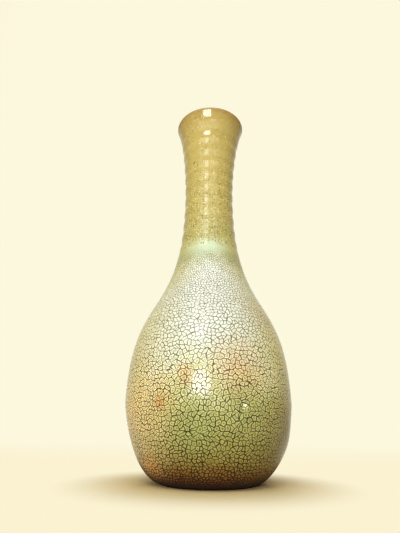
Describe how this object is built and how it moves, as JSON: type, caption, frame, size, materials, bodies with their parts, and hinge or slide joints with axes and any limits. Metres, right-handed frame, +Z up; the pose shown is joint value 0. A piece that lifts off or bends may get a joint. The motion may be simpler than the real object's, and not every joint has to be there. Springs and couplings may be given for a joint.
{
  "type": "bottle vase",
  "caption": "Tall glazed stoneware bottle vase with a low round crackle-glazed belly, a long slender tan neck and a flared mouth; holds stems and water and stands on a turned foot ring.",
  "frame": {"origin": "on the vase's axis, at the level that the foot ring stands on", "axes": "+Z up along the axis, from the foot to the mouth; the vase is round, so +X is free"},
  "size_m": [0.1222, 0.1222, 0.31],
  "materials": {
    "foot_clay": "bare iron-dark stoneware, matt",
    "stoneware": "fired stoneware body under the glaze",
    "luting_slip": "fired joining slip, sealed under the glaze",
    "crackle_glaze": "glossy yellow-green celadon with dark crackle lines and red-brown blushes",
    "tan_glaze": "glossy speckled tan",
    "inside_glaze": "plain glossy lining",
    "base_glaze": "thin satin brown coat inside the foot ring"
  },
  "bodies": {
    "root": {"foot_ring": "foot_clay", "foot_slip": "foot_clay", "lower_body": "stoneware", "belly_slip": "luting_slip", "upper_body": "stoneware", "neck_slip": "luting_slip", "neck": "stoneware", "body_glaze": "crackle_glaze", "neck_glaze": "tan_glaze", "liner_glaze": "inside_glaze", "base_glaze": "base_glaze"}
  },
  "joints": []
}
